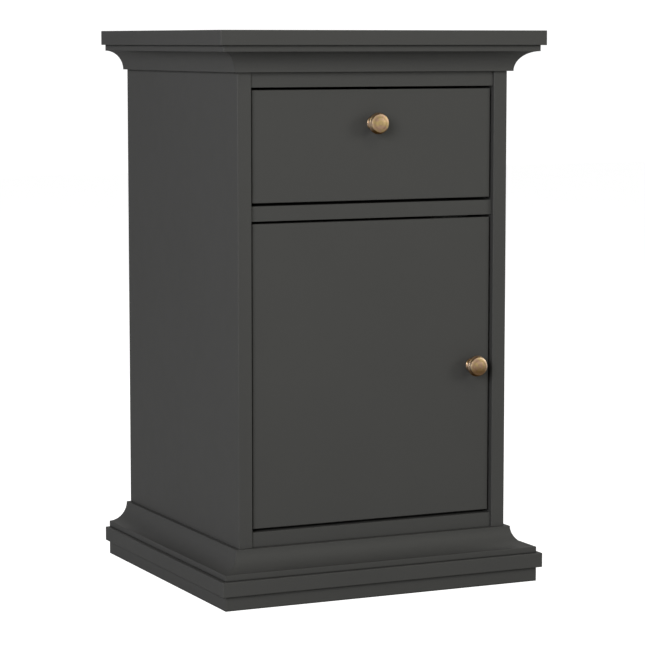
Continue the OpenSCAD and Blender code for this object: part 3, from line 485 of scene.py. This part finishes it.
def aged_brass(name, node, low_shade_top, low_shade_bottom, gain, side_highlight, right_highlight):
    """Turned brass with patina, painted shade and painted highlights; the face's painted shade runs from
    the one height to the other.
    """
    low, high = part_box(node)
    centre = ((low.x + high.x) / 2, high.y, (low.z + high.z) / 2)
    material, tree, shader = new_material(name)
    turned = place(tree, turned_place, {"Centre": centre, "Rings per metre": RINGS_PER_METRE})
    behind, upright, dark = patina_and_shade_places(tree, turned, low_shade_top, low_shade_bottom)
    metal = [share * gain for share in PINK_BRASS] + [1]
    gold = [share * gain for share in GOLD_BRASS] + [1]
    aged = place(tree, patina_and_shade, {"Metal": metal, "Gold": gold, "Brown": BROWN_PATINA_AND_SHADE, "Darkening": dark,
                                "Clouds per metre": BRASS_CLOUDS})
    tint = spread(tree, turned["Rings"], RING_LOW, RING_HIGH, 0.0, RING_TINT)
    ringed = blend(tree, tint, aged["Colour"], RING_BROWN)
    painted_highlights = painted_highlight_places(tree, turned, behind, upright, side_highlight, right_highlight)
    clean = sums(tree, "SUBTRACT", 1.0, aged["Mask"])
    edge = place(tree, rubbed_edge, {"Radius": 0.0004, "Patchiness": 0.7})
    # Bare metal from the painted highlights, and from real wear on the edges.
    rubbed = sums(tree, "MAXIMUM", painted_highlights, sums(tree, "MULTIPLY", edge["Mask"], RUBBED_SHARE))
    bright = blend(tree, sums(tree, "MULTIPLY", rubbed, clean), ringed, BARE_AND_HIGHLIGHT_BRASS)
    dull = sums(tree, "MULTIPLY_ADD", aged["Mask"], PATINA_GLOSS, BRASS_ROUGHNESS)
    rough = sums(tree, "MULTIPLY_ADD", turned["Rings"], RING_GLOSS, dull)
    feed(tree, shader, {"Base Color": bright, "Roughness": rough,
                        "Normal": relief(tree, turned["Rings"], RING_DEPTH_MM, edge["Normal"])})
    shader.inputs["Metallic"].default_value = 1.0
    print(name, "rings round", [round(x, 4) for x in centre])
    return material


drawer_brass = aged_brass("brass_drawer_knob", "drawer_knob", low_shade_top=-0.006, low_shade_bottom=-0.012,
                          gain=1.0, side_highlight=0.75, right_highlight=0.2)
door_brass = aged_brass("brass_door_knob", "door_knob", low_shade_top=0.0035, low_shade_bottom=-0.006,
                        gain=1.04, side_highlight=1.0, right_highlight=1.0)

# %% [markdown]
# ## Plated steel
# Hinges, plates and pins are pressed steel under nickel, and the screws, cams and bolts are zinc plated.
# Pressed sheet keeps fine scratches along one direction, and zinc has a crystalline bloom with a faint
# yellow and blue cast. Both are noise stretched or broken up, so one group with a stretch does for both.

# %% Node group: plating
BLOOM_CLOUDS = 190.0
BLOOM_LOW, BLOOM_HIGH = 0.38, 0.62
MARK_GLOSS = 0.14


def make_plating():
    group, given, result = new_group(
        "plating",
        [("Stretch", "Vector", (1.0, 1.0, 12.0)), ("Marks per metre", "Float", 600.0),
         ("Roughness", "Float", 0.3), ("First", "Color", (0.6, 0.6, 0.6, 1)),
         ("Second", "Color", (0.5, 0.5, 0.5, 1))],
        [("Colour", "Color"), ("Roughness", "Float"), ("Height", "Float")],
    )
    point = add(group, "ShaderNodeTexCoord").outputs["Object"]
    drawn = add(group, "ShaderNodeVectorMath", {0: point, 1: given["Stretch"]}, operation="MULTIPLY")
    marks = cloud(group, drawn.outputs[0], given["Marks per metre"], detail=4.0, roughness=0.6)
    bloom = spread(group, cloud(group, point, BLOOM_CLOUDS, detail=3.0), BLOOM_LOW, BLOOM_HIGH)
    gloss = sums(group, "MULTIPLY_ADD", marks, MARK_GLOSS, given["Roughness"])
    close_group(group, result, {"Colour": blend(group, bloom, given["First"], given["Second"]),
                                "Roughness": gloss, "Height": marks})
    return group


plating = make_plating()

# %% Materials: nickel, zinc and the magnet
RUBBED_STEEL = (0.78, 0.78, 0.77, 1)
PRESSING_MARKS = 700.0
MARK_DEPTH_MM = 0.01


def plated_steel(name, first, second, roughness, stretch):
    """Plated steel with marks along one direction and brighter, rubbed edges."""
    material, tree, shader = new_material(name)
    plate = place(tree, plating, {"First": first, "Second": second, "Roughness": roughness,
                                  "Stretch": stretch, "Marks per metre": PRESSING_MARKS})
    edge = place(tree, rubbed_edge, {"Radius": 0.0003, "Patchiness": 0.3})
    bright = blend(tree, sums(tree, "MULTIPLY", edge["Mask"], RUBBED_SHARE), plate["Colour"], RUBBED_STEEL)
    feed(tree, shader, {"Base Color": bright, "Roughness": plate["Roughness"],
                        "Normal": relief(tree, plate["Height"], MARK_DEPTH_MM, edge["Normal"])})
    shader.inputs["Metallic"].default_value = 1.0
    return material


nickel_steel = plated_steel(
    "nickel_steel", (0.64, 0.63, 0.60, 1), (0.56, 0.55, 0.52, 1), roughness=0.22, stretch=(1, 1, 14))
zinc_steel = plated_steel(
    "zinc_steel", (0.60, 0.61, 0.63, 1), (0.58, 0.56, 0.48, 1), roughness=0.3, stretch=(2, 2, 2))
magnet = plated_steel(
    "magnet", (0.30, 0.30, 0.31, 1), (0.22, 0.22, 0.23, 1), roughness=0.38, stretch=(1, 10, 1))
print("plated:", nickel_steel.name, zinc_steel.name, magnet.name)

# %% [markdown]
# ## Enamel, nylon and black plastic
# The runners are white epoxy powder on folded steel, the rollers natural nylon and the catch housing
# black moulded plastic. All three are a skin with its own pebble: coarse and glossy for the powder coat,
# fine for the mouldings. Nylon also lets a little light in, which softens its shading.

# %% Materials: enamel, nylon and black plastic
WORN_SHARE = 0.4
LIGHT_REACH = 0.002  # how far light goes into a cloudy moulding


def moulded(name, colour, drift, roughness, pebbles, pebble_mm, rubbed, cloudy=0.0):
    """A coat or a moulding: skin, and edges that catch a lighter or darker line."""
    material, tree, shader = new_material(name)
    coat = place(tree, skin, {"Colour": colour, "Drift": drift, "Roughness": roughness, "Gloss drift": 0.05,
                              "Pebble per metre": pebbles})
    edge = place(tree, rubbed_edge, {"Radius": 0.0004, "Patchiness": 0.5})
    worn = blend(tree, sums(tree, "MULTIPLY", edge["Mask"], WORN_SHARE), coat["Colour"], rubbed)
    feed(tree, shader, {"Base Color": worn, "Roughness": coat["Roughness"],
                        "Normal": relief(tree, coat["Height"], pebble_mm, edge["Normal"])})
    shader.inputs["Subsurface Weight"].default_value = cloudy
    shader.inputs["Subsurface Scale"].default_value = LIGHT_REACH
    return material


runner_enamel = moulded(
    "runner_enamel", (0.70, 0.70, 0.67, 1), drift=0.03, roughness=0.33, pebbles=500.0, pebble_mm=0.03,
    rubbed=(0.56, 0.55, 0.5, 1))
nylon = moulded(
    "nylon", (0.78, 0.77, 0.70, 1), drift=0.05, roughness=0.42, pebbles=1500.0, pebble_mm=0.01,
    rubbed=(0.82, 0.81, 0.76, 1), cloudy=0.25)
black_plastic = moulded(
    "black_plastic", (0.018, 0.018, 0.019, 1), drift=0.1, roughness=0.45, pebbles=2200.0, pebble_mm=0.02,
    rubbed=(0.05, 0.05, 0.05, 1))
print("coats and mouldings:", runner_enamel.name, nylon.name, black_plastic.name)

# %% [markdown]
# ## Beech
# The dowels are beech, pale and pinkish, with grain along the dowel and the short dark flecks of its
# rays. Stretched noise gives the grain, and a second, sharper noise the flecks.

# %% Material: beech
PALE_WOOD = (0.62, 0.43, 0.26, 1)
LATE_WOOD = (0.50, 0.32, 0.18, 1)
RAY_BROWN = (0.30, 0.16, 0.08, 1)
GRAIN_STRETCH = (1.0, 8.0, 8.0)  # the dowels of the carcass lie along X
GRAIN_LINES, RAY_FLECKS = 160.0, 900.0
GRAIN_BAND, FLECK_BAND, FLECK_SHARE = (0.35, 0.65), (0.62, 0.7), 0.5
WOOD_ROUGHNESS, GRAIN_GLOSS, GRAIN_DEPTH_MM = 0.6, 0.12, 0.05


def beech_wood(name):
    """Pale wood with stretched grain and short dark flecks."""
    material, tree, shader = new_material(name)
    point = add(tree, "ShaderNodeTexCoord").outputs["Object"]
    stretched = add(tree, "ShaderNodeVectorMath", {0: point, 1: GRAIN_STRETCH}, operation="MULTIPLY")
    along = stretched.outputs[0]
    lines = cloud(tree, along, GRAIN_LINES, detail=5.0, roughness=0.6)
    grain = spread(tree, lines, *GRAIN_BAND)
    fleck = spread(tree, cloud(tree, along, RAY_FLECKS), *FLECK_BAND, 0.0, FLECK_SHARE)
    wood = blend(tree, grain, PALE_WOOD, LATE_WOOD)
    feed(tree, shader, {"Base Color": blend(tree, fleck, wood, RAY_BROWN),
                        "Roughness": sums(tree, "MULTIPLY_ADD", grain, GRAIN_GLOSS, WOOD_ROUGHNESS),
                        "Normal": relief(tree, grain, GRAIN_DEPTH_MM)})
    return material


beech = beech_wood("beech")
print("wood:", beech.name)

# %% [markdown]
# ## Dress the pieces
# Each piece of the frame arrives with a plain material named after its finish. The detailed one of the
# same name takes its slot. A few pieces have a finish of their own: the side panels, with painted shade
# on their front corners, the boards, drawer front and door between them, which have less painted shade
# in their inner corners, and the two knobs, whose rings, patina, painted shade and painted highlights
# have their own centres.

# %% Dress the pieces
own_finish = {
    "side_left": edge_shaded_side, "side_right": edge_shaded_side, "carcass_top": plain_front,
    "divider": plain_front, "carcass_bottom": plain_front, "drawer_front": plain_front,
    "door_panel": plain_front, "drawer_knob": drawer_brass, "door_knob": door_brass,
}
finishes = {
    "lacquered_board": lacquered_board, "hardboard": hardboard, "nickel_steel": nickel_steel,
    "zinc_steel": zinc_steel, "magnet": magnet, "runner_enamel": runner_enamel, "nylon": nylon,
    "black_plastic": black_plastic, "beech": beech,
}
dressed = {}
for name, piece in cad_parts.items():
    for slot in piece.material_slots:
        finish = slot.material.name
        slot.material = own_finish[name] if name in own_finish else finishes[finish]
        dressed[finish] = dressed.get(finish, 0) + 1
print("dressed:", dressed)

# %% [markdown]
# ## The studio
# The cupboard stands in a white tent: floor and walls so bright that they come out pure white, and a
# dark object that is lit from everywhere. A white world gives the tent. Seven large soft lamps do the
# rest: one high and one low in front, which reach the top and the undersides of the mouldings, the
# strongest at the left front, where the picture is lightest, and one each at the left, at the right
# front, at the right and behind, so that no side is left in the dark. In the knobs they show as bright
# patches between darker gaps. A lamp is an area, because small lamps would cast hard shadows. Their
# strengths were fitted: each was rendered alone, and the sum that came closest to the tones of the real
# cupboard was kept.

# %% Studio: the tent
TENT_LIGHT, TENT_SEEN = 0.12, 1.08
WHITE = (1, 1, 1, 1)


def white_tent():
    """A world that the camera sees as pure white, and that gives only a faint, even light."""
    world = bpy.data.worlds.new("white_tent")
    world.use_nodes = True
    tree = world.node_tree
    seen = add(tree, "ShaderNodeLightPath").outputs["Is Camera Ray"]
    background = tree.nodes["Background"]
    tree.links.new(spread(tree, seen, 0.0, 1.0, TENT_LIGHT, TENT_SEEN), background.inputs["Strength"])
    background.inputs["Color"].default_value = WHITE
    bpy.context.scene.world = world
    print("tent gives", TENT_LIGHT, "and looks", TENT_SEEN)


white_tent()

# %% Studio: the floor
FLOOR_HALF_WIDTH = 9.0
FLOOR_SQUARES = 12
FLOOR_CLOUDS = 3.0
FLOOR_DARK, FLOOR_LIGHT = 0.46, 0.50
FLOOR_GLOW = 0.93


def pale_floor():
    """A wide sheet of pale acrylic with a trace of light in it, as under a product picture."""
    mesh = bmesh.new()
    bmesh.ops.create_grid(mesh, x_segments=FLOOR_SQUARES, y_segments=FLOOR_SQUARES, size=FLOOR_HALF_WIDTH)
    data = bpy.data.meshes.new("studio_floor")
    mesh.to_mesh(data)
    mesh.free()
    floor = bpy.data.objects.new("studio_floor", data)
    bpy.context.scene.collection.objects.link(floor)
    material, tree, shader = new_material("pale_acrylic")
    point = add(tree, "ShaderNodeTexCoord").outputs["Object"]
    haze = spread(tree, cloud(tree, point, FLOOR_CLOUDS), NOISE_LOW, NOISE_HIGH, FLOOR_DARK, FLOOR_LIGHT)
    tone = add(tree, "ShaderNodeCombineColor", {0: haze, 1: haze, 2: haze}).outputs[0]
    seen = add(tree, "ShaderNodeLightPath").outputs["Is Camera Ray"]
    glow = sums(tree, "MULTIPLY", seen, FLOOR_GLOW)
    feed(tree, shader, {"Base Color": tone, "Emission Strength": glow})
    shader.inputs["Emission Color"].default_value = WHITE
    shader.inputs["Roughness"].default_value = 0.9
    data.materials.append(material)
    print("floor is", 2 * FLOOR_HALF_WIDTH, "m wide")


pale_floor()

# %% Studio: the lamps
UPPER_AIM, MIDDLE_AIM = (0.0, 0.0, 0.45), (0.0, 0.0, 0.35)
LARGE, USUAL = 1.6, 1.4  # widths in metres
NEUTRAL, FAINTLY_YELLOW, YELLOWISH, YELLOW = [(1.0, 1.0, blue) for blue in (1.0, 0.97, 0.92, 0.86)]
LAMPS = [  # name, place, aim, width in metres, watts, colour
    ("high_lamp", (0.4, -2.4, 2.6), UPPER_AIM, LARGE, 16.5, YELLOW),
    ("low_lamp", (0.5, -3.2, 0.35), MIDDLE_AIM, USUAL, 6.0, YELLOW),
    ("left_front_lamp", (-2.4, -2.4, 1.3), MIDDLE_AIM, USUAL, 86.0, NEUTRAL),
    ("left_lamp", (-3.2, 1.2, 1.3), MIDDLE_AIM, USUAL, 32.0, NEUTRAL),
    ("right_front_lamp", (2.6, -2.4, 1.3), MIDDLE_AIM, USUAL, 29.5, YELLOWISH),
    ("right_lamp", (2.5, 0.7, 2.2), MIDDLE_AIM, USUAL, 17.0, FAINTLY_YELLOW),
    ("back_lamp", (0.8, 2.4, 2.6), MIDDLE_AIM, LARGE, 20.0, FAINTLY_YELLOW),
]


def soft_lamp(name, place_at, aim_at, size, watts, colour):
    """A square area lamp at one point, turned towards another."""
    lamp = bpy.data.lights.new(name, "AREA")
    lamp.size, lamp.energy, lamp.color = size, watts, colour
    holder = bpy.data.objects.new(name, lamp)
    bpy.context.scene.collection.objects.link(holder)
    holder.location = place_at
    holder.rotation_mode = "QUATERNION"
    holder.rotation_quaternion = (Vector(aim_at) - Vector(place_at)).to_track_quat("-Z", "Y")
    print(name, watts, "W,", size, "m wide")


for lamp_row in LAMPS:
    soft_lamp(*lamp_row)
bpy.context.scene.view_settings.view_transform = "Standard"
bpy.context.scene.view_settings.look = "None"
